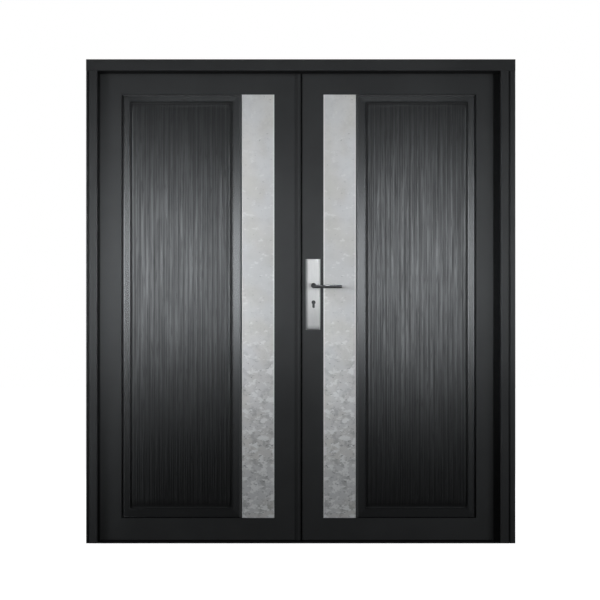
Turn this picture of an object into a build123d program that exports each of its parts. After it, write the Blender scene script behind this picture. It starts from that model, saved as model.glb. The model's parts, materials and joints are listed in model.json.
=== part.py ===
import os

from build123d import *

os.makedirs("parts", exist_ok=True)

# Millimetres. x runs along the wall, y from the outside face into the building, z up from the floor.
# The origin is on the underside of the threshold, in the middle of the opening.
overall_width = 1840
overall_height = 2075
frame_depth = 95

# Folded steel frame
sheet = 1.5
bend = 2.5
left_face = 47
right_face = 63
head_face = 49
stop_depth = 26
rebate = 18
wall_lip = 15
groove_from_opening = 38
groove_width = 9
groove_floor = 3
groove_depth = 3
groove_bend = 2
sill_thickness = 4
sill_chamfer = 2
anchor_radius = 6
anchor_pitch = 500
anchor_rows = 4

# Black weather seal on the back of the stop
seal_space = 7
seal_clearance = 0.6
seal_lip = 10
right_seal_lip = 29
seal_foot = 11
seal_round = 2.5

# Leaves
leaf_thickness = 60
leaf_gap = 6
floor_clearance = 5.5
meeting_centre = 10.25
meeting_gap = 8.5
meeting_seal_clearance = 0.9
meeting_seal_round = 1.5
meeting_seal_depth = 12
lip_width = 20
lip_rise = 3
lip_round = 2
lip_end_gap = 6

# Layout of one leaf face, measured from the middle of the door, the hinge edge, the top and the bottom
lock_stile = 105.5
strip_width = 140
hinge_stile = 114
top_rail = 111
bottom_rail = 95.5
strip_recess = 4
strip_thickness = 5
strip_reveal = 0.5
strip_chamfer = 0.8
pocket_depth = 16
moulding_reveal = 1.5
hinge_reveal = 8
strip_bar = 42
hinge_bar = 28.5
top_bar = 31
bottom_bar = 41
moulding_rise = 5
moulding_fall = 5
moulding_bevel = 2.5
panel_gap = 6
panel_thickness = 6
panel_chamfer = 1.5

# Lift-off hinges on the inside
hinge_inset = 250
barrel_radius = 10
barrel_length = 58
barrel_gap = 1
pin_radius = 6
pin_clearance = 0.05
pin_length = 45
hinge_plate = 4
frame_plate_reach = 30
leaf_plate_reach = 42

# Lock, plates and lever
lock_x = 63
lever_z = 1105
cylinder_drop = 72
plate_width = 58
plate_height = 305
plate_z = 1066.5
plate_thickness = 8
plate_bevel = 6
cylinder_round = 8.5
cylinder_foot = 5
cylinder_height = 33
cylinder_proud = 3
fit = 0.3
neck_radius = 9
neck_clearance = 0.05
head_radius = 11
lever_reach = 122
lever_height = 13
lever_thickness = 12
lever_stand = 40
lever_tip_round = 5
lever_bevel = 4
spindle_side = 8
spindle_bite = 14
face_plate_width = 22
face_plate_length = 1000
face_plate_thickness = 3
bolt_radius = 7
bolt_length = 25
bolt_pitch = 28
latch_height = 20
latch_width = 12
strike_margin = 1
flush_bolt_length = 240
flush_bolt_end = 24
flush_bolt_slot = 60
flush_bolt_slot_depth = 1.5

# Places that follow from the sizes above
front_y = -frame_depth / 2
back_y = frame_depth / 2
opening_half = (overall_width - left_face - right_face) / 2
web_half = opening_half + rebate
stop_y = front_y + stop_depth
head_edge_z = overall_height - head_face
web_z = head_edge_z + rebate
leaf_half = web_half - leaf_gap
leaf_front_y = stop_y + seal_space
leaf_back_y = leaf_front_y + leaf_thickness
leaf_mid_y = (leaf_front_y + leaf_back_y) / 2
leaf_bottom_z = sill_thickness + floor_clearance
leaf_top_z = web_z - leaf_gap
left_edge_x = meeting_centre - meeting_gap / 2
right_edge_x = meeting_centre + meeting_gap / 2
hinge_x = web_half - leaf_gap / 2
hinge_y = back_y + barrel_radius + barrel_gap
hinge_heights = (leaf_bottom_z + hinge_inset, (leaf_bottom_z + leaf_top_z) / 2, leaf_top_z - hinge_inset)
anchor_y = (stop_y + back_y) / 2
window_in = lock_stile
window_split = lock_stile + strip_width
window_out = leaf_half - hinge_stile
window_bottom = leaf_bottom_z + bottom_rail
window_top = leaf_top_z - top_rail
mould_in = window_split + moulding_reveal
mould_out = window_out - hinge_reveal
mould_bottom = window_bottom + moulding_reveal
mould_top = window_top - moulding_reveal
cylinder_z = lever_z - cylinder_drop
face_plate_bottom = cylinder_z - face_plate_length / 2
face_plate_top = cylinder_z + face_plate_length / 2
plate_front_y = leaf_front_y - plate_thickness
lever_back_y = plate_front_y - lever_stand

outer_face = Plane.XZ.offset(-leaf_front_y)
leaf_middle = Plane.XZ.offset(-leaf_mid_y)
door_middle = Plane.YZ


def keep(piece, name):
    piece.label = name
    export_step(piece, f"parts/{name}.step")


def slab(x, y, z, mode=Mode.ADD):
    with Locations((x[0], y[0], z[0])):
        Box(x[1] - x[0], y[1] - y[0], z[1] - z[0], align=(Align.MIN,) * 3, mode=mode)


# Frame: each jamb is one folded sheet, open towards the wall, with a groove pressed in its face.
# The left face is narrower, and both grooves lie as far from the opening.
def jamb(face):
    outer_x = opening_half + face
    groove_x = opening_half + groove_from_opening
    with BuildPart() as post:
        with BuildSketch() as section:
            with BuildLine() as outline:
                FilletPolyline(
                    (outer_x, back_y - wall_lip),
                    (outer_x, back_y),
                    (web_half, back_y),
                    (web_half, stop_y),
                    (opening_half, stop_y),
                    (opening_half, front_y),
                    (groove_x - groove_width / 2, front_y),
                    (groove_x - groove_floor / 2, front_y + groove_depth),
                    (groove_x + groove_floor / 2, front_y + groove_depth),
                    (groove_x + groove_width / 2, front_y),
                    (outer_x, front_y),
                    (outer_x, front_y + wall_lip),
                    radius=(bend, bend, 0, bend, bend, groove_bend, 0, 0, groove_bend, bend),
                )
                offset(amount=sheet, side=Side.LEFT)
            make_face(outline.edges())
        extrude(section.sketch, amount=web_z)
        # the front leg ends under the stop of the head
        slab((opening_half - bend, outer_x + bend), (front_y - bend, stop_y),
             (head_edge_z, web_z), Mode.SUBTRACT)
        with BuildSketch(Plane.YZ.offset(web_half - sheet)) as holes:
            with Locations((anchor_y, overall_height / 2)):
                with GridLocations(anchor_pitch, anchor_pitch, 1, anchor_rows):
                    Circle(anchor_radius)
        extrude(holes.sketch, amount=3 * sheet, mode=Mode.SUBTRACT)
    return post.part


with BuildPart() as frame_head:
    with BuildSketch(Plane.YZ.offset(-opening_half - left_face)):
        with BuildLine():
            FilletPolyline(
                (back_y - wall_lip, overall_height),
                (back_y, overall_height),
                (back_y, web_z),
                (stop_y, web_z),
                (stop_y, head_edge_z),
                (front_y, head_edge_z),
                (front_y, overall_height),
                (front_y + wall_lip, overall_height),
                radius=(bend, bend, 0, bend, bend, bend),
            )
            offset(amount=sheet, side=Side.RIGHT)
        make_face()
    extrude(amount=overall_width)

with BuildPart() as threshold:
    with BuildSketch():
        with BuildLine():
            Polyline(
                (-web_half, back_y), (web_half, back_y), (web_half, stop_y),
                (opening_half, stop_y), (opening_half, front_y), (-opening_half, front_y),
                (-opening_half, stop_y), (-web_half, stop_y), close=True,
            )
        make_face()
    extrude(amount=sill_thickness)
    front_edge = threshold.faces().sort_by(Axis.Y)[0].edges().sort_by(Axis.Z)[-1]
    chamfer(front_edge, sill_chamfer)

# Weather seals lie on the back of the stop, and their lips show past its edge, the right one as a broad band
seal_back_y = leaf_front_y - seal_clearance


def side_seal(lip):
    with BuildPart() as rubber:
        slab((opening_half - lip, opening_half + seal_foot), (stop_y, seal_back_y),
             (sill_thickness, head_edge_z - seal_lip))
        fillet(rubber.faces().sort_by(Axis.X)[0].edges().filter_by(Axis.Z), seal_round)
    return rubber.part


with BuildPart() as head_seal:
    slab((-opening_half - seal_foot, opening_half + seal_foot), (stop_y, seal_back_y),
         (head_edge_z - seal_lip, head_edge_z + seal_foot))
    fillet(head_seal.faces().sort_by(Axis.Z)[0].edges().filter_by(Axis.X), seal_round)

# Hinges: the lower barrel and its pin belong to the frame, the upper barrel to the leaf
with BuildPart() as right_frame_hinges:
    for height in hinge_heights:
        with BuildSketch(Plane.XY.offset(height - barrel_length)):
            with Locations((hinge_x, hinge_y)):
                Circle(barrel_radius)
            with Locations((hinge_x, back_y)):
                Rectangle(frame_plate_reach, hinge_plate, align=(Align.MIN, Align.MIN))
        extrude(amount=barrel_length)
        with BuildSketch(Plane.XY.offset(height)):
            with Locations((hinge_x, hinge_y)):
                Circle(pin_radius)
        extrude(amount=pin_length)

with BuildPart() as right_leaf_hinges:
    for height in hinge_heights:
        with BuildSketch(Plane.XY.offset(height + barrel_gap)):
            with Locations((hinge_x, hinge_y)):
                Circle(barrel_radius)
            with Locations((hinge_x, leaf_back_y)):
                Rectangle(leaf_plate_reach, hinge_plate, align=(Align.MAX, Align.MIN))
        extrude(amount=barrel_length)
        with BuildSketch(Plane.XY.offset(height + barrel_gap)):
            with Locations((hinge_x, hinge_y)):
                Circle(pin_radius + pin_clearance)
        extrude(amount=pin_length, mode=Mode.SUBTRACT)


# One sheet tray, half the leaf deep, with a shallow pan for the strip and a deeper one for the panel
def tray(meeting_edge):
    with BuildPart() as skin:
        slab((meeting_edge, leaf_half), (leaf_front_y, leaf_mid_y), (leaf_bottom_z, leaf_top_z))
        fillet(skin.faces().sort_by(Axis.Y)[0].edges(), bend)
        slab((meeting_edge + sheet, leaf_half - sheet), (leaf_front_y + sheet, leaf_mid_y),
             (leaf_bottom_z + sheet, leaf_top_z - sheet), Mode.SUBTRACT)
        pan_z = (window_bottom - sheet, window_top + sheet)
        slab((window_in - sheet, window_split + sheet),
             (leaf_front_y, leaf_front_y + strip_recess + sheet), pan_z)
        slab((window_split - sheet, window_out + sheet),
             (leaf_front_y, leaf_front_y + pocket_depth + sheet), pan_z)
        slab((window_in, window_split), (leaf_front_y, leaf_front_y + strip_recess),
             (window_bottom, window_top), Mode.SUBTRACT)
        slab((window_split, window_out), (leaf_front_y, leaf_front_y + pocket_depth),
             (window_bottom, window_top), Mode.SUBTRACT)
    return skin.part


# Outline of a profile lock cylinder, grown by a clearance
def cylinder_outline(grow, mode):
    foot = cylinder_height - cylinder_round - cylinder_foot
    with Locations((lock_x, cylinder_z)):
        Circle(cylinder_round + grow, mode=mode)
    with Locations((lock_x, cylinder_z - foot / 2)):
        Rectangle(2 * (cylinder_foot + grow), foot, mode=mode)
    with Locations((lock_x, cylinder_z - foot)):
        Circle(cylinder_foot + grow, mode=mode)


edge_half = (leaf_mid_y - face_plate_width / 2, leaf_mid_y)
with BuildPart() as right_outer_skin:
    add(tray(right_edge_x))
    with BuildSketch(outer_face):
        cylinder_outline(2 * fit, Mode.ADD)
        with Locations((lock_x, lever_z)):
            Circle(neck_radius + fit)
    extrude(amount=-2 * sheet, mode=Mode.SUBTRACT)
    slab((right_edge_x, right_edge_x + sheet), edge_half, (face_plate_bottom, face_plate_top),
         Mode.SUBTRACT)

flush_bolt_spans = (
    (leaf_bottom_z + flush_bolt_end, leaf_bottom_z + flush_bolt_end + flush_bolt_length),
    (leaf_top_z - flush_bolt_end - flush_bolt_length, leaf_top_z - flush_bolt_end),
)
with BuildPart() as left_outer_skin:
    mirror(tray(-left_edge_x), about=door_middle)
    for span in ((face_plate_bottom, face_plate_top), *flush_bolt_spans):
        slab((left_edge_x - sheet, left_edge_x), edge_half, span, Mode.SUBTRACT)

with BuildPart() as strip:
    slab((window_in + strip_reveal, window_split - strip_reveal),
         (leaf_front_y + strip_recess - strip_thickness, leaf_front_y + strip_recess),
         (window_bottom + strip_reveal, window_top - strip_reveal))
    chamfer(strip.faces().sort_by(Axis.Y)[0].edges(), strip_chamfer)

pocket_y = leaf_front_y + pocket_depth
with BuildPart() as panel:
    slab((mould_in + strip_bar + panel_gap, mould_out - hinge_bar - panel_gap),
         (pocket_y - panel_thickness, pocket_y),
         (mould_bottom + bottom_bar + panel_gap, mould_top - top_bar - panel_gap))
    chamfer(panel.faces().sort_by(Axis.Y)[0].edges(), panel_chamfer)


# Moulding section, folded with crisp bends: a bevelled outer edge, a narrow top, a long slope
# towards the panel and a narrow inner edge. place turns a share of the bar's width and a height
# above the leaf face into a sketch point.
def moulding_section(place):
    with BuildLine() as outline:
        Polyline(
            place(0, -pocket_depth),
            place(0, moulding_rise - moulding_bevel),
            place(0.07, moulding_rise),
            place(0.18, moulding_rise),
            place(0.84, -moulding_fall),
            place(0.94, -moulding_fall),
            place(1, -moulding_fall - moulding_bevel),
            place(1, -pocket_depth),
            close=True,
        )
    make_face(outline.edges())


# The four bars differ in width, so each mitre runs from the outer corner to the inner corner
corners = ((mould_in, mould_bottom), (mould_out, mould_bottom),
           (mould_out, mould_top), (mould_in, mould_top))
inner_corners = ((mould_in + strip_bar, mould_bottom + bottom_bar),
                 (mould_out - hinge_bar, mould_bottom + bottom_bar),
                 (mould_out - hinge_bar, mould_top - top_bar),
                 (mould_in + strip_bar, mould_top - top_bar))


def mitre(first, second):
    with BuildSketch(outer_face) as plan:
        with BuildLine():
            Polyline(corners[first], corners[second], inner_corners[second], inner_corners[first],
                     close=True)
        make_face()
    extrude(plan.sketch, amount=2 * pocket_depth, both=True, mode=Mode.INTERSECT)


def upright(edge_x, width, first, second):
    with BuildPart() as bar:
        with BuildSketch(Plane.XY.offset(mould_bottom)):
            moulding_section(lambda share, height: (edge_x + share * width, leaf_front_y - height))
        extrude(amount=mould_top - mould_bottom)
        mitre(first, second)
    return bar.part


def crossbar(edge_z, width, first, second):
    with BuildPart() as bar:
        with BuildSketch(Plane.YZ.offset(mould_in)):
            moulding_section(lambda share, height: (leaf_front_y - height, edge_z + share * width))
        extrude(amount=mould_out - mould_in)
        mitre(first, second)
    return bar.part


with BuildPart() as moulding_uprights:
    add(upright(mould_in, strip_bar, 3, 0))
    add(upright(mould_out, -hinge_bar, 1, 2))

with BuildPart() as moulding_crossbars:
    add(crossbar(mould_bottom, bottom_bar, 0, 1))
    add(crossbar(mould_top, -top_bar, 2, 3))

# Meeting edges: a cover lip on the face of the left leaf, and near the inside a rubber seal on each leaf
with BuildPart() as meeting_lip:
    slab((left_edge_x - lip_width, left_edge_x), (leaf_front_y - lip_rise, leaf_front_y),
         (leaf_bottom_z, head_edge_z - seal_lip - lip_end_gap))
    fillet(meeting_lip.faces().sort_by(Axis.Y)[0].edges().filter_by(Axis.Z), lip_round)

meeting_seal_y = (leaf_back_y - bend - meeting_seal_depth, leaf_back_y - bend)
with BuildPart() as right_meeting_seal:
    slab((meeting_centre + meeting_seal_clearance / 2, right_edge_x), meeting_seal_y,
         (leaf_bottom_z, leaf_top_z))
    fillet(right_meeting_seal.faces().sort_by(Axis.X)[0].edges().filter_by(Axis.Z), meeting_seal_round)

with BuildPart() as left_meeting_seal:
    mirror(right_meeting_seal.part, about=Plane.YZ.offset(meeting_centre))

bolt_heights = (cylinder_z - bolt_pitch, cylinder_z, cylinder_z + bolt_pitch)
edge_span = (leaf_mid_y - face_plate_width / 2, leaf_mid_y + face_plate_width / 2)
with BuildPart() as lock_faceplate:
    slab((right_edge_x, right_edge_x + face_plate_thickness), edge_span,
         (face_plate_bottom, face_plate_top))
    with BuildSketch(Plane.YZ.offset(right_edge_x)):
        with Locations(*[(leaf_mid_y, height) for height in bolt_heights]):
            Circle(bolt_radius + fit)
        with Locations((leaf_mid_y, lever_z)):
            Rectangle(latch_width + 2 * fit, latch_height + 2 * fit)
    extrude(amount=face_plate_thickness, mode=Mode.SUBTRACT)

with BuildPart() as lock_bolts:
    with BuildSketch(Plane.YZ.offset(right_edge_x)):
        with Locations(*[(leaf_mid_y, height) for height in bolt_heights]):
            Circle(bolt_radius)
        with Locations((leaf_mid_y, lever_z)):
            Rectangle(latch_width, latch_height)
    extrude(amount=bolt_length)

with BuildPart() as strike_plate:
    slab((left_edge_x - face_plate_thickness, left_edge_x), edge_span,
         (face_plate_bottom, face_plate_top))
    with BuildSketch(Plane.YZ.offset(left_edge_x)):
        with Locations(*[(leaf_mid_y, height) for height in bolt_heights]):
            Circle(bolt_radius + strike_margin)
        with Locations((leaf_mid_y, lever_z)):
            Rectangle(latch_width + 2 * strike_margin, latch_height + 2 * strike_margin)
    extrude(amount=-face_plate_thickness, mode=Mode.SUBTRACT)

with BuildPart() as flush_bolts:
    for span in flush_bolt_spans:
        slab((left_edge_x - face_plate_thickness, left_edge_x), edge_span, span)
        with BuildSketch(Plane.YZ.offset(left_edge_x)):
            with Locations((leaf_mid_y, (span[0] + span[1]) / 2)):
                SlotOverall(flush_bolt_slot, latch_width, rotation=90)
        extrude(amount=-flush_bolt_slot_depth, mode=Mode.SUBTRACT)

# Bevelled lock plate, profile cylinder right through the leaf, and a lever on each side of one spindle
with BuildPart() as lock_plate:
    with BuildSketch(outer_face):
        with Locations((lock_x, plate_z)):
            Rectangle(plate_width, plate_height)
    extrude(amount=plate_thickness)
    chamfer(lock_plate.faces().sort_by(Axis.Y)[0].edges(), plate_bevel)
    with BuildSketch(outer_face):
        cylinder_outline(fit, Mode.ADD)
        with Locations((lock_x, lever_z)):
            Circle(neck_radius + neck_clearance)
    extrude(amount=plate_thickness, mode=Mode.SUBTRACT)

with BuildPart() as lock_cylinder:
    with BuildSketch(leaf_middle):
        cylinder_outline(0, Mode.ADD)
    extrude(amount=leaf_thickness / 2 + plate_thickness + cylinder_proud, both=True)

with BuildPart() as lever:
    with BuildSketch(Plane.XZ.offset(-lever_back_y)):
        with Locations((lock_x, lever_z)):
            Circle(head_radius)
        with Locations((lock_x, lever_z - head_radius)):
            Rectangle(lever_reach, lever_height, align=(Align.MIN, Align.MIN))
    extrude(amount=lever_thickness)
    ends = lever.edges().filter_by(Axis.Y).group_by(Axis.X)[-1]
    fillet(ends, lever_tip_round)
    chamfer(lever.faces().sort_by(Axis.Y)[0].edges(), lever_bevel)
    with BuildSketch(Plane.XZ.offset(-lever_back_y)):
        with Locations((lock_x, lever_z)):
            Circle(neck_radius)
    extrude(amount=lever_back_y - leaf_front_y)
    with BuildSketch(outer_face):
        with Locations((lock_x, lever_z)):
            Rectangle(spindle_side, spindle_side)
    extrude(amount=spindle_bite, mode=Mode.SUBTRACT)

with BuildPart() as lever_spindle:
    with BuildSketch(leaf_middle):
        with Locations((lock_x, lever_z)):
            Rectangle(spindle_side, spindle_side)
    extrude(amount=leaf_thickness / 2 + spindle_bite, both=True)

keep(jamb(right_face), "right_jamb")
keep(mirror(jamb(left_face), about=door_middle), "left_jamb")
keep(frame_head.part, "frame_head")
keep(threshold.part, "threshold")
keep(side_seal(right_seal_lip), "right_seal")
keep(mirror(side_seal(seal_lip), about=door_middle), "left_seal")
keep(head_seal.part, "head_seal")
keep(right_frame_hinges.part, "right_frame_hinges")
keep(mirror(right_frame_hinges.part, about=door_middle), "left_frame_hinges")
keep(right_leaf_hinges.part, "right_leaf_hinges")
keep(mirror(right_leaf_hinges.part, about=door_middle), "left_leaf_hinges")

for skin, side in ((right_outer_skin, "right"), (left_outer_skin, "left")):
    keep(skin.part, f"{side}_outer_skin")
    keep(mirror(skin.part, about=leaf_middle), f"{side}_inner_skin")

# Panel, strip and mouldings are alike on both faces of both leaves
for piece, name in ((panel, "panel"), (strip, "strip"), (moulding_uprights, "moulding_uprights"),
                    (moulding_crossbars, "moulding_crossbars")):
    inner = mirror(piece.part, about=leaf_middle)
    keep(mirror(piece.part, about=door_middle), f"left_outer_{name}")
    keep(mirror(inner, about=door_middle), f"left_inner_{name}")
    keep(inner, f"right_inner_{name}")
    keep(piece.part, f"right_outer_{name}")

keep(meeting_lip.part, "meeting_lip")
keep(left_meeting_seal.part, "left_meeting_seal")
keep(right_meeting_seal.part, "right_meeting_seal")
keep(strike_plate.part, "strike_plate")
keep(flush_bolts.part, "flush_bolts")
keep(lock_faceplate.part, "lock_faceplate")
keep(lock_bolts.part, "lock_bolts")
keep(lock_plate.part, "outer_lock_plate")
keep(mirror(lock_plate.part, about=leaf_middle), "inner_lock_plate")
keep(lock_cylinder.part, "lock_cylinder")
keep(lever.part, "outer_lever")
keep(mirror(lever.part, about=leaf_middle), "inner_lever")
keep(lever_spindle.part, "lever_spindle")
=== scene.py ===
import json
import math

import bmesh
import bpy
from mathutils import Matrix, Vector


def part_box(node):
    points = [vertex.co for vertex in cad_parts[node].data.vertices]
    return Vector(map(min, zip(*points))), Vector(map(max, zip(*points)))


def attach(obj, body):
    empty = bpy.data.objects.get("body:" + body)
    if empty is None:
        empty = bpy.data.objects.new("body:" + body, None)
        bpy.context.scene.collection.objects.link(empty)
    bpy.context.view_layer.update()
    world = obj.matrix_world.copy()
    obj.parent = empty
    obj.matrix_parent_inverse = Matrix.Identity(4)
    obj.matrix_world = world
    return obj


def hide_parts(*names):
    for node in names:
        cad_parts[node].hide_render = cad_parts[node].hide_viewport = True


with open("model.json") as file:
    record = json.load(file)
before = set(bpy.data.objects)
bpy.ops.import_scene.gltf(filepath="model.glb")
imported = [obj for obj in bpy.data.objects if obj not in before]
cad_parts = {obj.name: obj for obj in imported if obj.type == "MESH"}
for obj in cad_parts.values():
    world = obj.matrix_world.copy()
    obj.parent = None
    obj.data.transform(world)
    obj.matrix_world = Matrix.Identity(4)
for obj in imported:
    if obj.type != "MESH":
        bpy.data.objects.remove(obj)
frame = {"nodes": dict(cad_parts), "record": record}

scene = bpy.context.scene
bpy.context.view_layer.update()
print("door loaded:", len(frame["nodes"]), "nodes")


# One socket of a node tree. Sums and products of wires and numbers add Math nodes.
class Wire:
    def __init__(self, bench, socket):
        self.bench = bench
        self.socket = socket

    def math(self, operation, *terms):
        return self.bench.add("ShaderNodeMath", {"operation": operation}, dict(enumerate(terms)))

    def __add__(self, other):
        return self.math("ADD", self, other)

    def __radd__(self, other):
        return self.math("ADD", other, self)

    def __sub__(self, other):
        return self.math("SUBTRACT", self, other)

    def __rsub__(self, other):
        return self.math("SUBTRACT", other, self)

    def __mul__(self, other):
        return self.math("MULTIPLY", self, other)

    def __rmul__(self, other):
        return self.math("MULTIPLY", other, self)

    def __truediv__(self, other):
        return self.math("DIVIDE", self, other)

    def __rtruediv__(self, other):
        return self.math("DIVIDE", other, self)

    def __abs__(self):
        return self.math("ABSOLUTE", self)

    def least(self, other):
        return self.math("MINIMUM", self, other)

    def sine(self):
        return self.math("SINE", self)

    def ease(self, low, high):  # 0 at low, 1 at high, smooth between
        return self.bench.add("ShaderNodeMapRange", {"interpolation_type": "SMOOTHSTEP"},
                              {"Value": self, "From Min": low, "From Max": high})

    def out(self, name):  # another output of the same node
        return Wire(self.bench, self.socket.node.outputs[name])


# Adds nodes to one tree: the settings first, then the values or links of the sockets.
class Bench:
    def __init__(self, tree):
        self.tree = tree

    def add(self, kind, settings=None, sockets=None, output=0):
        node = self.tree.nodes.new(kind)
        for name, value in (settings or {}).items():
            setattr(node, name, value)
        for place, value in (sockets or {}).items():
            if isinstance(value, Wire):
                self.tree.links.new(value.socket, node.inputs[place])
            else:
                node.inputs[place].default_value = value
        return Wire(self, node.outputs[output]) if node.outputs else None

    def place(self):  # where a point of the piece is, in metres
        return self.add("ShaderNodeTexCoord", output="Object")

    def note(self, name, output="Fac"):  # what the mesh keeps at each point
        return self.add("ShaderNodeAttribute", {"attribute_name": name}, output=output)

    def axis(self, vector, letter):
        return self.add("ShaderNodeSeparateXYZ", None, {0: vector}, output=letter)

    def point(self, x=0.0, y=0.0, z=0.0):
        return self.add("ShaderNodeCombineXYZ", None, {"X": x, "Y": y, "Z": z})

    def noise(self, vector, scale=1.0, detail=2.0, rough=0.5):
        return self.add("ShaderNodeTexNoise", None,
                        {"Vector": vector, "Scale": scale, "Detail": detail, "Roughness": rough})

    def stretch(self, vector, scale):  # the same place, drawn out or squeezed along each axis
        return self.add("ShaderNodeVectorMath", {"operation": "MULTIPLY"}, {0: vector, 1: scale})

    def tint(self, factor, first, second):
        return self.add("ShaderNodeMix", {"data_type": "RGBA", "blend_type": "MIX"},
                        {0: factor, 6: first, 7: second}, output=2)

    def bump(self, height, strength, depth):
        return self.add("ShaderNodeBump", None, {"Strength": strength, "Distance": depth, "Height": height})


def grey(value, warm=0.0):
    return (value * (1 + warm), value, value * (1 - warm), 1.0)


def newFinish(name):
    material = bpy.data.materials.new(name)
    material.use_nodes = True
    material.node_tree.nodes.clear()
    return material, Bench(material.node_tree)


def closeFinish(bench, sockets):
    shader = bench.add("ShaderNodeBsdfPrincipled", None, sockets)
    bench.add("ShaderNodeOutputMaterial", None, {"Surface": shader})


# Satin powder coat: soft clouding, a fine orange peel and a slightly uneven gloss.
# A recipe may add upright bands, the same on both leaves, and level ledges, all in one other tone: painted shade
# where it is darker, painted light where it is lighter.
coatPattern = {"cloud": 2.4, "peel": 420.0, "speck": 160.0, "peelDepth": 0.0004, "speckShare": 0.25,
               "cloudGloss": 0.10, "speckGloss": 0.08, "bandCore": 0.4, "bandFade": 0.004}


def powderCoat(name, recipe):
    material, bench = newFinish(name)
    place = bench.place()
    cloud = bench.noise(place, coatPattern["cloud"], 4.0, 0.55)
    peel = bench.noise(place, coatPattern["peel"])
    speck = bench.noise(place, coatPattern["speck"], 3.0, 0.6)
    tone = bench.tint(cloud.ease(0.3, 0.7), recipe["dark"], recipe["light"])
    tone = bench.tint(speck.ease(0.58, 0.75) * coatPattern["speckShare"], tone, recipe["light"])
    # bands and ledges: painted shading in the recipe's other tone
    for middle, half, top, share in recipe.get("bands", ()):
        across = abs(abs(bench.axis(place, "X")) - middle).ease(half, half * coatPattern["bandCore"])
        below = bench.axis(place, "Z").ease(top, top - coatPattern["bandFade"])
        tone = bench.tint(across * below * share, tone, recipe["paintedShadingTone"])
    for middle, half, share in recipe.get("ledges", ()):
        level = abs(bench.axis(place, "Z") - middle).ease(half, half * coatPattern["bandCore"])
        tone = bench.tint(level * share, tone, recipe["paintedShadingTone"])
    uneven = (cloud - 0.5) * coatPattern["cloudGloss"] + (speck - 0.5) * coatPattern["speckGloss"]
    closeFinish(bench, {"Base Color": tone, "Roughness": recipe["rough"] + uneven * recipe.get("uneven", 1.0),
                        "Normal": bench.bump(peel, recipe["peel"], coatPattern["peelDepth"]),
                        "Specular IOR Level": recipe["gloss"], "Coat Weight": recipe["coat"],
                        "Coat Roughness": recipe["rough"]})
    return material


# Anthracite with pressed upright grain: the furrows are in the mesh, the fine fibres in the bump.
# Furrows are duller than the ridges; the dropped rim is darker and duller, painted shade in the gap beside the
# moulding.
grainPattern = {"fibre": (520.0, 520.0, 7.0), "vein": (150.0, 150.0, 1.6), "fibreDepth": 0.0006,
                "furrowRough": 0.18, "rimRough": 0.4, "fibreRough": 0.12}


def grainFinish(name, recipe):
    material, bench = newFinish(name)
    place = bench.place()
    ridge = bench.note("ridge")
    fibre = bench.noise(bench.stretch(place, grainPattern["fibre"]), 1.0, 3.0, 0.6)
    vein = bench.noise(bench.stretch(place, grainPattern["vein"]))
    height = ridge * 0.65 + vein * 0.2 + fibre * 0.15
    tone = bench.tint(height.ease(0.25, 0.8), recipe["furrow"], recipe["ridge"])
    rough = (recipe["rough"] + (1 - ridge) * grainPattern["furrowRough"]
             + ridge.ease(0.2, 0.0) * grainPattern["rimRough"] + (fibre - 0.5) * grainPattern["fibreRough"])
    closeFinish(bench, {"Base Color": tone, "Roughness": rough,
                        "Normal": bench.bump(fibre, recipe["fibre"], grainPattern["fibreDepth"]),
                        "Specular IOR Level": recipe["gloss"], "Coat Weight": ridge * ridge * recipe["coat"],
                        "Coat Roughness": recipe["coatRough"]})
    return material


# Fair-faced concrete: clouds, cool and warm patches, damp blotches lower down, light chips, short dark marks and
# pale worn edges, with painted shade across the middle of its height, in its pits and towards its foot.
# It reads each strip's own place, so both strips carry the same marks.
concretePattern = {"cloud": 9.0, "patch": 4.5, "blotch": 26.0, "sand": 330.0, "chip": (25.0, 34.0, 30.0),
                   "mark": (62.0, 96.0, 58.0), "lowChips": 0.085, "lowMarks": 0.045, "rough": 0.62,
                   "bump": 0.4, "depth": 0.0012}


def concreteFinish(name, recipe):
    material, bench = newFinish(name)
    pit, worn, place = bench.note("pit"), bench.note("worn"), bench.note("spot", "Vector")
    along = bench.axis(place, "Y")
    low = along.ease(recipe["calmAbove"], recipe["busyBelow"])
    foot = along.ease(recipe["shadeAbove"], recipe["shadeBelow"])
    # painted shade, darkest at the height where the lamps are brightest
    middleShade = abs(along - recipe["shadeMiddle"]).ease(recipe["shadeHalf"], 0.0)
    cloud = bench.noise(place, concretePattern["cloud"], 4.0, 0.55)
    patch = bench.noise(place, concretePattern["patch"])
    blotch = bench.noise(place, concretePattern["blotch"], 4.0, 0.62)
    chip = bench.noise(bench.stretch(place, concretePattern["chip"]), 1.0, 3.0, 0.62)
    chip = chip + low * concretePattern["lowChips"]
    mark = bench.noise(bench.stretch(place, concretePattern["mark"]), 1.0, 3.0, 0.6)
    mark = mark + low * concretePattern["lowMarks"]
    sand = bench.noise(place, concretePattern["sand"], 3.0, 0.7)
    tone = bench.tint(cloud.ease(0.32, 0.68), recipe["dark"], recipe["light"])
    for cover, layer in (  # laid one over the other
            (patch.ease(0.42, 0.60) * 0.6, "cool"),
            (patch.ease(0.50, 0.34) * 0.5, "warm"),
            (middleShade * recipe["shadeShare"], "dampAndShade"),
            (blotch.ease(0.50, 0.64) * (0.07 + low * 0.36), "dampAndShade"),
            (chip.ease(0.58, 0.67) * (0.25 + low * 0.75), "chip"),
            (mark.ease(0.635, 0.72) * (0.36 + low * 0.20), "mark"),
            ((sand - 0.5).ease(0.08, 0.25) * 0.25, "dark"),
            # painted shade in the pits
            (pit * 0.65, "mark"),
            (worn * 0.7, "chip"),
            # painted shade, darker towards the foot
            (foot * recipe["footShade"], "mark")):
        tone = bench.tint(cover, tone, recipe[layer])
    rough = concretePattern["rough"] + (blotch - 0.5) * 0.2 + pit * 0.2
    relief = bench.bump(sand * 0.15 + blotch * 0.4 + chip * 0.45, concretePattern["bump"], concretePattern["depth"])
    closeFinish(bench, {"Base Color": tone, "Roughness": rough, "Normal": relief})
    return material


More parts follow.
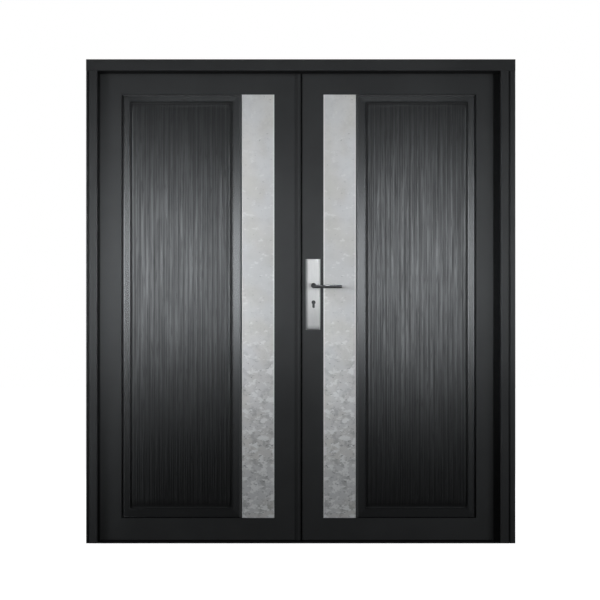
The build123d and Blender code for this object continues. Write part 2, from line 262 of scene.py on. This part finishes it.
# Satin steel, brushed along its length; a recipe may darken flanks with painted shade
steelPattern = {"brush": (1400.0, 1400.0, 22.0), "smear": 26.0, "smearShare": 0.35, "brushRough": 0.16,
                "smearRough": 0.1, "bump": 0.12, "depth": 0.0002}


def brushedSteel(name, recipe):
    material, bench = newFinish(name)
    place = bench.place()
    brush = bench.noise(bench.stretch(place, steelPattern["brush"]), 1.0, 3.0, 0.6)
    smear = bench.noise(place, steelPattern["smear"], 3.0, 0.6)
    tone = bench.tint(brush.ease(0.3, 0.7), recipe["dark"], recipe["light"])
    tone = bench.tint(smear.ease(0.5, 0.75) * steelPattern["smearShare"], tone, recipe["dark"])
    # painted shade on the flanks
    for axis, far, near, share in recipe.get("shadedFlanks", ()):
        tone = bench.tint(bench.axis(place, axis).ease(near, far) * share, tone, recipe["paintedShadeTone"])
    rough = (recipe["rough"] + (brush - 0.5) * steelPattern["brushRough"]
             + (smear - 0.5) * steelPattern["smearRough"])
    closeFinish(bench, {"Base Color": tone, "Roughness": rough, "Metallic": recipe["metal"],
                        "Normal": bench.bump(brush, steelPattern["bump"], steelPattern["depth"])})
    return material


# Black rubber with a dull bloom
rubberPattern = {"bloom": 45.0, "grain": 700.0, "rough": 0.72, "bloomRough": 0.2, "bump": 0.2, "depth": 0.0003,
                 "gloss": 0.15}


def rubberFinish(name, recipe):
    material, bench = newFinish(name)
    place = bench.place()
    bloom = bench.noise(place, rubberPattern["bloom"], 4.0, 0.6)
    skin = bench.noise(place, rubberPattern["grain"])
    tone = bench.tint(bloom.ease(0.45, 0.75), recipe["dark"], recipe["light"])
    rough = rubberPattern["rough"] + (bloom - 0.5) * rubberPattern["bloomRough"]
    closeFinish(bench, {"Base Color": tone, "Roughness": rough, "Specular IOR Level": rubberPattern["gloss"],
                        "Normal": bench.bump(skin, rubberPattern["bump"], rubberPattern["depth"])})
    return material


# A band is (distance from the middle, half width, top, share), a ledge (height, half width, share), both painted
# shading, a flank (axis, where its painted shade is darkest, where it ends, share)
finishes = {
    "frame_paint": powderCoat("framePaint", {
        "dark": (0.0346, 0.0346, 0.0347, 1), "light": (0.0446, 0.0446, 0.0448, 1),
        "rough": 0.42, "peel": 0.12, "gloss": 0.22, "coat": 0.0,
        "bands": ((0.903, 0.0060, 2.026, 0.95),), "paintedShadingTone": grey(0.004)}),  # painted shade in the pressed groove
    "leaf_paint": powderCoat("leafPaint", {
        "dark": (0.0366, 0.0366, 0.0368, 1), "light": (0.0466, 0.0466, 0.0469, 1),
        "rough": 0.42, "peel": 0.12, "gloss": 0.22, "coat": 0.0,
        "bands": ((0.0102, 0.011, 2.1, 0.42),), "paintedShadingTone": grey(0.006)}),  # painted shadow along the cover lip at the joint
    "moulding": powderCoat("mouldingPaint", {
        "dark": (0.012, 0.0125, 0.013, 1), "light": (0.016, 0.0165, 0.017, 1),
        "rough": 0.25, "peel": 0.0, "gloss": 0.8, "coat": 0.20, "uneven": 0.15,
        "bands": ((0.2508, 0.006, 2.1, 0.9),),  # painted light on the rim beside the strip
        "ledges": ((1.9245, 0.006, 0.9),),  # painted light on the top crossbar's rim
        "paintedShadingTone": grey(0.07)}),
    "hinge_steel": powderCoat("hingePaint", {
        "dark": (0.033, 0.035, 0.036, 1), "light": (0.042, 0.044, 0.045, 1),
        "rough": 0.40, "peel": 0.15, "gloss": 0.4, "coat": 0.0}),
    "threshold_steel": powderCoat("thresholdPaint", {
        "dark": (0.014, 0.015, 0.016, 1), "light": (0.022, 0.023, 0.024, 1),
        "rough": 0.5, "peel": 0.2, "gloss": 0.3, "coat": 0.0}),
    "dark_lever": powderCoat("leverCoat", {
        "dark": (0.016, 0.016, 0.017, 1), "light": (0.024, 0.024, 0.025, 1),
        "rough": 0.36, "peel": 0.05, "gloss": 0.5, "coat": 0.0}),
    "grained_panel": grainFinish("grainedPanel", {
        "furrow": (0.0025, 0.0026, 0.0028, 1), "ridge": (0.009, 0.0093, 0.0097, 1),
        "rough": 0.27, "fibre": 0.3, "gloss": 0.58, "coat": 1.0, "coatRough": 0.36}),
    "concrete_strip": concreteFinish("concreteStrip", {
        "dark": grey(0.67, 0.04), "light": grey(0.77, 0.04),
        "cool": (0.722, 0.719, 0.728, 1), "warm": (0.76, 0.733, 0.672, 1),
        "dampAndShade": grey(0.27, 0.03), "chip": grey(0.92, 0.015), "mark": grey(0.13, 0.03),
        "shadeMiddle": 0.2, "shadeHalf": 0.6, "shadeShare": 0.40, "calmAbove": 0.10, "busyBelow": -0.65,
        "shadeAbove": -0.35, "shadeBelow": -0.92, "footShade": 0.04}),
    "seal_rubber": rubberFinish("sealRubber", {"dark": grey(0.005), "light": grey(0.010)}),
    "satin_plate": brushedSteel("satinPlate", {
        "dark": grey(0.62, 0.025), "light": grey(0.72, 0.025), "rough": 0.38, "metal": 0.25,
        # painted shade: the plate's left flank, its bottom edge and its lower part darker
        "paintedShadeTone": grey(0.10), "shadedFlanks": (
            ("X", 0.0325, 0.0390, 0.75), ("Z", 0.9165, 0.9380, 0.55), ("Z", 0.93, 1.08, 0.30))}),
    "lock_steel": brushedSteel("lockSteel", {
        "dark": grey(0.34), "light": grey(0.48), "rough": 0.34, "metal": 0.8}),
    "dark_cylinder": brushedSteel("darkCylinder", {
        "dark": grey(0.045), "light": grey(0.065), "rough": 0.4, "metal": 0.4}),
}

for part in frame["record"]["subparts"]:
    node = frame["nodes"][part["node"]]
    node.data.materials.clear()
    node.data.materials.append(finishes[part["material_slot"]])
print("finishes:", len(finishes))


# An empty geometry tree with named inputs, and the wire of each input
def newShape(name, inputs):
    tree = bpy.data.node_groups.new(name, "GeometryNodeTree")
    for label, kind in inputs.items():
        tree.interface.new_socket(name=label, in_out="INPUT", socket_type="NodeSocket" + kind)
    tree.interface.new_socket(name="Geometry", in_out="OUTPUT", socket_type="NodeSocketGeometry")
    bench = Bench(tree)
    source = bench.add("NodeGroupInput")
    return tree, bench, {label: source.out(label) for label in inputs}


# Realized, dressed and led to the tree's output
def closeShape(bench, shape, finish):
    whole = bench.add("GeometryNodeRealizeInstances", None, {"Geometry": shape})
    dressed = bench.add("GeometryNodeSetMaterial", None, {"Geometry": whole, "Material": finish})
    bench.add("NodeGroupOutput", None, {"Geometry": dressed})


# Runs a tree once and keeps its result as a plain mesh
def makePiece(name, tree, values):
    piece = bpy.data.objects.new(name, bpy.data.meshes.new(name + "Start"))
    scene.collection.objects.link(piece)
    shaper = piece.modifiers.new("shape", "NODES")
    shaper.node_group = tree
    for item in tree.interface.items_tree:
        if item.in_out == "INPUT":
            shaper[item.identifier] = values[item.name]
    depsgraph = bpy.context.evaluated_depsgraph_get()
    made = bpy.data.meshes.new_from_object(piece.evaluated_get(depsgraph), preserve_all_data_layers=True,
                                           depsgraph=depsgraph)
    piece.modifiers.remove(shaper)
    piece.data = made
    return piece


slabInputs = {"Width": "Float", "Height": "Float", "Thickness": "Float", "Columns": "Int", "Rows": "Int",
              "Pitch": "Float", "Relief": "Float", "Edge": "Float", "Edge Drop": "Float", "Seed": "Float",
              "Place": "Vector", "Turn": "Vector", "Finish": "Material"}
slabWeld = 0.000001  # points nearer than this become one
backSeed = 40.0  # the inside face is cut from another place of the pattern


# The flat grid of a slab, the place of its points, and how far each is inside the rim, from 0 to 1
def startSlab(bench, inputs):
    grid = bench.add("GeometryNodeMeshGrid", None, {
        "Size X": inputs["Width"], "Size Y": inputs["Height"],
        "Vertices X": inputs["Columns"], "Vertices Y": inputs["Rows"]})
    position = bench.add("GeometryNodeInputPosition")
    across, along = bench.axis(position, "X"), bench.axis(position, "Y")
    rimDistance = (inputs["Width"] * 0.5 - abs(across)).least(inputs["Height"] * 0.5 - abs(along))
    return grid, across, along, rimDistance.ease(0.0, inputs["Edge"])


# A grid with a relief, a dropped edge and side walls, stood up and set in its place
def finishSlab(bench, inputs, grid, relief, notes):
    noted = grid
    for name, kind, value in notes:
        noted = bench.add("GeometryNodeStoreNamedAttribute", {"data_type": kind, "domain": "POINT"},
                          {"Geometry": noted, "Name": name, "Value": value})
    lifted = bench.add("GeometryNodeSetPosition", None, {"Geometry": noted, "Offset": bench.point(z=relief)})
    neighbours = bench.add("GeometryNodeInputMeshEdgeNeighbors")
    rim = bench.add("FunctionNodeCompare", {"data_type": "INT", "operation": "EQUAL"}, {2: neighbours, 3: 1})
    walled = bench.add("GeometryNodeExtrudeMesh", {"mode": "EDGES"}, {
        "Mesh": lifted, "Selection": rim, "Offset": bench.point(z=inputs["Edge Drop"] - inputs["Thickness"])})
    stood = bench.add("GeometryNodeTransform", None, {
        "Geometry": walled, "Translation": inputs["Place"], "Rotation": inputs["Turn"]})
    closeShape(bench, stood, inputs["Finish"])


# Closes the back of a slab, turns every face outwards and keeps the folds crisp
def closeSlab(piece, foldDegrees):
    slab = bmesh.new()
    slab.from_mesh(piece.data)
    bmesh.ops.remove_doubles(slab, verts=slab.verts, dist=slabWeld)
    rim = [edge for edge in slab.edges if edge.is_boundary]
    bmesh.ops.contextual_create(slab, geom=rim)
    bmesh.ops.recalc_face_normals(slab, faces=slab.faces)
    for face in slab.faces:
        face.smooth = True
    slab.to_mesh(piece.data)
    slab.free()
    piece.data.set_sharp_from_angle(angle=math.radians(foldDegrees))


# Upright furrows at an even pitch with finer ones between them, both fading in and out, and short dark flecks
grain = {"steps": (0.0016, 0.016), "fold": 62, "left": 2.0, "right": 5.0, "wander": 0.0008,
         "inputs": {"Pitch": 0.021, "Fine Pitch": 0.0104, "Relief": 0.0009, "Edge": 0.006, "Edge Drop": 0.0030}}
# Streaks of noise: how many per metre across and along, their layer and their detail
grainStreaks = {"drift": (6.0, 0.3, 3.0, 2.0), "jitter": (36.0, 0.8, 21.0, 1.0), "hair": (190.0, 1.6, 9.0, 1.0),
                "fade": (40.0, 2.4, 15.0, 2.0), "fineFade": (70.0, 3.5, 27.0, 2.0),
                "fleck": (210.0, 13.0, 11.0, 2.0)}


def grainTree():
    tree, bench, inputs = newShape("grainedSlab", {**slabInputs, "Fine Pitch": "Float"})
    grid, across, along, inside = startSlab(bench, inputs)
    wander = bench.noise(bench.point(across * 5.0, along * 0.7, inputs["Seed"]))
    wandered = across + (wander - 0.5) * grain["wander"]

    def streak(kind):
        perMetre, lengthways, layer, detail = grainStreaks[kind]
        return bench.noise(bench.point(wandered * perMetre, along * lengthways, inputs["Seed"] + layer), 1.0, detail)

    def furrows(pitch, shift):
        return (wandered * (2 * math.pi) / pitch + shift).sine() * 0.5 + 0.5

    wave = furrows(inputs["Pitch"], streak("drift") * 2.0)
    fine = furrows(inputs["Fine Pitch"], streak("jitter") * 9.0)
    hair = streak("hair").ease(0.30, 0.65)
    fade = streak("fade").ease(0.30, 0.60)
    fineFade = streak("fineFade").ease(0.36, 0.60)
    fleck = streak("fleck").ease(0.56, 0.68)
    furrow = (1 - (1 - wave) * (fade * 0.40 + 0.12)) * (1 - (1 - fine) * fineFade * 0.65)
    top = furrow * (hair * 0.25 + 0.75) * (1 - fleck * 0.55)
    relief = (top - 1) * inputs["Relief"] * inside - (1 - inside) * inputs["Edge Drop"]
    # the ridge note falls to 0 at the dropped rim, painting shade into the gap beside the moulding
    finishSlab(bench, inputs, grid, relief, (("ridge", "FLOAT", top * inside),))
    return tree


# Flat concrete with scattered pits, more of them lower down, and a note of its worn edges and places
slate = {"steps": (0.0035, 0.0035), "fold": 40, "left": 2.0, "right": 2.0,
         "inputs": {"Pitch": 0.026, "Relief": 0.0014, "Edge": 0.002, "Edge Drop": 0.0008}}


def concreteTree():
    tree, bench, inputs = newShape("concreteSlab", slabInputs)
    grid, across, along, inside = startSlab(bench, inputs)
    point = bench.point(across, along, inputs["Seed"])
    bend = bench.stretch(bench.noise(point, 60.0).out("Color"), (0.006, 0.006, 0.0))
    bent = bench.add("ShaderNodeVectorMath", {"operation": "ADD"}, {0: point, 1: bend})
    cells = bench.add("ShaderNodeTexVoronoi", {"voronoi_dimensions": "3D"}, {
        "Vector": bent, "Scale": 1 / inputs["Pitch"]})
    chance = cells.out("Color")  # its own for each cell
    lowShare = (along / inputs["Height"]).ease(0.15, -0.5)
    size = bench.axis(chance, "Y") * 0.13 + 0.07
    chosen = (bench.axis(chance, "X") - lowShare * 0.07).ease(0.13, 0.10)
    pit = cells.out("Distance").ease(size, 0.0) * chosen
    swell = bench.noise(point, 14.0, 3.0) - 0.5
    relief = (swell * 0.35 - pit) * inputs["Relief"] * inside - (1 - inside) * inputs["Edge Drop"]
    worn = (inputs["Width"] * 0.5 - abs(across)).ease(0.006, 0.001)
    finishSlab(bench, inputs, grid, relief, (
        ("pit", "FLOAT", pit * inside), ("worn", "FLOAT", worn), ("spot", "FLOAT_VECTOR", point)))
    return tree


# Builds one slab over each CAD node of a kind, on both leaves and both faces
def coverNodes(kind, title, tree, recipe, slot):
    columnStep, rowStep = recipe["steps"]
    for side in ("left", "right"):
        for facing in ("outer", "inner"):
            node = side + "_" + facing + "_" + kind
            low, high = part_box(node)
            size = high - low
            outer = facing == "outer"
            piece = makePiece(side + facing.capitalize() + title, tree, {
                **recipe["inputs"], "Width": size.x, "Height": size.z, "Thickness": size.y,
                "Columns": round(size.x / columnStep), "Rows": round(size.z / rowStep),
                "Seed": recipe[side] + (0.0 if outer else backSeed),
                "Place": ((low.x + high.x) / 2, low.y if outer else high.y, (low.z + high.z) / 2),
                "Turn": (math.pi / 2, 0.0, 0.0 if outer else math.pi), "Finish": finishes[slot]})
            closeSlab(piece, recipe["fold"])
            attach(piece, side + "_leaf")
            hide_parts(node)
    print(title, "made")


coverNodes("panel", "GrainedPanel", grainTree(), grain, "grained_panel")
coverNodes("strip", "ConcreteStrip", concreteTree(), slate, "concrete_strip")

# Round plug with a key slot on both ends of the lock cylinder
keyPlug = {"radius": 0.0062, "proud": 0.0007, "depth": 0.004, "slotWidth": 0.0020, "slotHeight": 0.0092,
           "sides": 40, "heightAboveFoot": 0.0245}


def keyPlugTree():
    tree, bench, inputs = newShape("keyPlug", {
        "Radius": "Float", "Depth": "Float", "Sides": "Int", "Slot": "Vector", "Place": "Vector",
        "Turn": "Vector", "Finish": "Material"})
    disc = bench.add("GeometryNodeMeshCylinder", None, {
        "Vertices": inputs["Sides"], "Radius": inputs["Radius"], "Depth": inputs["Depth"]})
    slot = bench.add("GeometryNodeMeshCube", None, {"Size": inputs["Slot"]})
    cut = bench.add("GeometryNodeMeshBoolean", {"operation": "DIFFERENCE"}, {0: disc, 1: slot})
    placed = bench.add("GeometryNodeTransform", None, {
        "Geometry": cut, "Translation": inputs["Place"], "Rotation": inputs["Turn"]})
    closeShape(bench, placed, inputs["Finish"])
    return tree


plugTree = keyPlugTree()
low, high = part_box("lock_cylinder")
for facing, face, way in (("outer", low.y, -1), ("inner", high.y, 1)):
    plug = makePiece(facing + "KeyPlug", plugTree, {
        "Radius": keyPlug["radius"], "Depth": keyPlug["depth"], "Sides": keyPlug["sides"],
        "Slot": (keyPlug["slotWidth"], keyPlug["slotHeight"], keyPlug["depth"] * 2),
        "Place": ((low.x + high.x) / 2, face + way * (keyPlug["proud"] - keyPlug["depth"] / 2),
                  low.z + keyPlug["heightAboveFoot"]),
        "Turn": (math.pi / 2, 0.0, 0.0), "Finish": finishes["dark_cylinder"]})
    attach(plug, "right_leaf")
print("key plugs made")


# Upright bars. On the left leaf's meeting edge: a painted bead that narrows the joint seen from outside, and on
# the inside a soft fin and its foot, which close the slit between the two seals and the gap below them.
# On the right leaf: the turned-down edge of each lock plate, on the side of the joint, darkened by the plate's
# painted shade.
uprightBars = {
    "edgeBead": {"body": "left_leaf", "slot": "leaf_paint",
                 "width": 0.0035, "depth": 0.006, "round": 0.0012, "inset": 0.0015},
    "meetingFin": {"body": "left_leaf", "slot": "seal_rubber",
                   "width": 0.0014, "depth": 0.003, "round": 0.0005},
    "meetingFoot": {"body": "left_leaf", "slot": "seal_rubber",
                    "width": 0.018, "depth": 0.008, "round": 0.0015, "height": 0.0046, "drop": 0.0002},
    "plateEdge": {"body": "right_leaf", "slot": "satin_plate",
                  "width": 0.0055, "depth": 0.0024, "round": 0.0011, "tuck": 0.0008},
}
barWeld = 0.00001  # points nearer than this become one
cornerPoints = 4  # on each rounded corner of a bar


def barTree():
    tree, bench, inputs = newShape("roundedBar", {
        "Width": "Float", "Depth": "Float", "Height": "Float", "Round": "Float", "Place": "Vector",
        "Finish": "Material"})
    outline = bench.add("GeometryNodeCurvePrimitiveQuadrilateral", None, {
        "Width": inputs["Width"], "Height": inputs["Depth"]})
    rounded = bench.add("GeometryNodeFilletCurve", {"mode": "POLY"}, {
        "Curve": outline, "Count": cornerPoints, "Radius": inputs["Round"]})
    sole = bench.add("GeometryNodeFillCurve", {"mode": "NGONS"}, {"Curve": rounded})
    raised = bench.add("GeometryNodeExtrudeMesh", {"mode": "FACES"}, {
        "Mesh": sole, "Offset": bench.point(z=inputs["Height"]), "Offset Scale": 1.0})
    halves = bench.add("GeometryNodeJoinGeometry")
    for half in (bench.add("GeometryNodeFlipFaces", None, {"Mesh": sole}), raised):
        bench.tree.links.new(half.socket, halves.socket.node.inputs[0])
    joined = bench.add("GeometryNodeMergeByDistance", None, {"Geometry": halves, "Distance": barWeld})
    placed = bench.add("GeometryNodeTransform", None, {"Geometry": joined, "Translation": inputs["Place"]})
    closeShape(bench, placed, inputs["Finish"])
    return tree


def layBar(name, recipe, tree, x, y, bottom, top):
    bar = makePiece(name, tree, {
        "Width": recipe["width"], "Depth": recipe["depth"], "Height": top - bottom, "Round": recipe["round"],
        "Place": (x, y, bottom), "Finish": finishes[recipe["slot"]]})
    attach(bar, recipe["body"])


bars = barTree()
leafLow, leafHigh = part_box("left_outer_skin")
bead = uprightBars["edgeBead"]
layBar("edgeBead", bead, bars, leafHigh.x + bead["width"] / 2, leafLow.y + bead["inset"] + bead["depth"] / 2,
       leafLow.z, leafHigh.z)
sealLow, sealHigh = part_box("left_meeting_seal")
middleX = (sealHigh.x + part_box("right_meeting_seal")[0].x) / 2
middleY = (sealLow.y + sealHigh.y) / 2
layBar("meetingFin", uprightBars["meetingFin"], bars, middleX, middleY, sealLow.z, sealHigh.z)
foot = uprightBars["meetingFoot"]
footTop = sealLow.z - foot["drop"]
layBar("meetingFoot", foot, bars, middleX, middleY, footTop - foot["height"], footTop)
edge = uprightBars["plateEdge"]
for facing in ("outer", "inner"):
    plateLow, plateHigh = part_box(facing + "_lock_plate")
    edgeY = plateHigh.y - edge["depth"] / 2 if facing == "outer" else plateLow.y + edge["depth"] / 2
    layBar(facing + "PlateEdge", edge, bars, plateLow.x + edge["tuck"] - edge["width"] / 2, edgeY,
           plateLow.z, plateHigh.z)
print("upright bars made")


# Studio: a pale floor in white surroundings. Far and side boxes light the door evenly, narrow near boxes make
# the soft highlights on panels and mouldings, washes light the head, a very narrow one from above lights the
# lever, and two boxes behind light the inside face.
studio = {
    "farRight": {"place": (3.7, -2.1, 1.45), "aim": (0.0, 0.0, 1.4),
                 "size": (0.9, 0.6), "watts": 18.2, "spread": 115},
    "farLeft": {"place": (-3.8, -2.1, 1.45), "aim": (0.0, 0.0, 1.4),
                "size": (0.9, 0.6), "watts": 20.8, "spread": 115},
    "sideLeft": {"place": (-2.5, -4.6, 1.15), "aim": (-0.4, 0.0, 1.0),
                 "size": (0.9, 1.8), "watts": 0.6, "spread": 60},
    "sideRight": {"place": (2.5, -4.6, 1.15), "aim": (0.4, 0.0, 1.0),
                  "size": (0.9, 1.8), "watts": 0.33, "spread": 60},
    "outerLeft": {"place": (-2.2, -2.4, 1.21), "aim": (-0.3, 0.0, 1.185),
                  "size": (0.7, 0.7), "watts": 0.53, "spread": 40},
    "outerRight": {"place": (2.2, -2.4, 1.21), "aim": (0.3, 0.0, 1.185),
                   "size": (0.7, 0.7), "watts": 0.41, "spread": 40},
    "innerLeft": {"place": (-0.8, -2.4, 1.21), "aim": (0.74, 0.0, 1.185),
                  "size": (0.6, 0.7), "watts": 1.0, "spread": 30},
    "innerRight": {"place": (0.8, -2.4, 1.21), "aim": (-0.74, 0.0, 1.185),
                   "size": (0.6, 0.7), "watts": 1.86, "spread": 30},
    "frontLeft": {"place": (-0.89, -2.4, 1.23), "aim": (-0.71, 0.0, 1.2),
                  "size": (0.8, 0.7), "watts": 0.78, "spread": 40},
    "frontRight": {"place": (0.72, -2.4, 1.21), "aim": (0.45, 0.0, 1.185),
                   "size": (0.5, 0.95), "watts": 0.60, "spread": 34},
    "jambLeft": {"place": (-1.28, -2.4, 0.42), "aim": (-1.08, 0.0, 0.5),
                 "size": (0.3, 0.9), "watts": 0.085, "spread": 18},
    "topWash": {"place": (0.0, -2.2, 3.3), "aim": (0.0, 0.0, 2.0),
                "size": (1.8, 0.4), "watts": 1.15, "spread": 50},
    "footWash": {"place": (0.0, -1.25, 0.12), "aim": (0.0, 0.0, 1.94),
                 "size": (1.7, 0.25), "watts": 0.11, "spread": 18},
    "overLever": {"place": (0.12, -0.36, 2.9), "aim": (0.12, -0.06, 1.12),
                  "size": (0.1, 0.1), "watts": 0.022, "spread": 4},
    "backLeft": {"place": (2.6, 3.2, 2.0), "aim": (0.0, 0.0, 1.1),
                 "size": (1.6, 1.6), "watts": 40, "spread": 120},
    "backRight": {"place": (-2.6, 3.2, 1.6), "aim": (0.0, 0.0, 1.1),
                  "size": (1.2, 1.6), "watts": 22, "spread": 120},
}
lampTint = (0.951, 1.0, 1.038)  # slightly cool
for name, box in studio.items():
    lamp = bpy.data.lights.new(name, "AREA")
    lamp.shape = "RECTANGLE"
    lamp.size, lamp.size_y = box["size"]
    lamp.energy = box["watts"]
    lamp.spread = math.radians(box["spread"])
    lamp.color = lampTint
    holder = bpy.data.objects.new(name, lamp)
    scene.collection.objects.link(holder)
    holder.location = box["place"]
    holder.rotation_euler = (Vector(box["aim"]) - Vector(box["place"])).to_track_quat("-Z", "Y").to_euler()

surround = {"seen": 1.0, "fill": 0.04}
world = bpy.data.worlds.new("studioWorld")
world.use_nodes = True
world.node_tree.nodes.clear()
scene.world = world
bench = Bench(world.node_tree)
fill = bench.add("ShaderNodeBackground", None, {"Color": grey(1.0), "Strength": surround["fill"]})
seen = bench.add("ShaderNodeBackground", None, {"Color": grey(1.0), "Strength": surround["seen"]})
cameraRay = bench.add("ShaderNodeLightPath", output="Is Camera Ray")
mixed = bench.add("ShaderNodeMixShader", None, {0: cameraRay, 1: fill, 2: seen})
bench.add("ShaderNodeOutputWorld", None, {"Surface": mixed})

floorPlan = {"half": 14.0, "glow": 1.0, "albedo": 0.4}
floorMesh = bpy.data.meshes.new("studioFloor")
half = floorPlan["half"]
floorMesh.from_pydata([(-half, -half, 0), (half, -half, 0), (half, half, 0), (-half, half, 0)], [], [(0, 1, 2, 3)])
floor = bpy.data.objects.new("studioFloor", floorMesh)
scene.collection.objects.link(floor)
material, bench = newFinish("paleFloor")
matt = bench.add("ShaderNodeBsdfDiffuse", None, {"Color": grey(floorPlan["albedo"])})
glow = bench.add("ShaderNodeEmission", None, {"Color": grey(1.0), "Strength": floorPlan["glow"]})
both = bench.add("ShaderNodeAddShader", None, {0: matt, 1: glow})
bench.add("ShaderNodeOutputMaterial", None, {"Surface": both})
floorMesh.materials.append(material)
floor.visible_diffuse = False  # the pale floor doesn't brighten the door's foot
floor.visible_glossy = False

scene.view_settings.view_transform = "Standard"

# Level camera, far off with a long lens; the view is 2.571 m wide at the frame's face
eye = {"x": 0.0048, "z": 1.043, "distance": 8.0, "viewWidth": 2.5710, "sensor": 36.0}
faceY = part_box("frame_head")[0].y
camera = bpy.data.objects.new("camera", bpy.data.cameras.new("camera"))
scene.collection.objects.link(camera)
camera.data.sensor_width = eye["sensor"]
camera.data.lens = eye["sensor"] * eye["distance"] / eye["viewWidth"]
camera.location = (eye["x"], faceY - eye["distance"], eye["z"])
camera.rotation_euler = (math.pi / 2, 0.0, 0.0)
scene.camera = camera
print("studio and camera set")
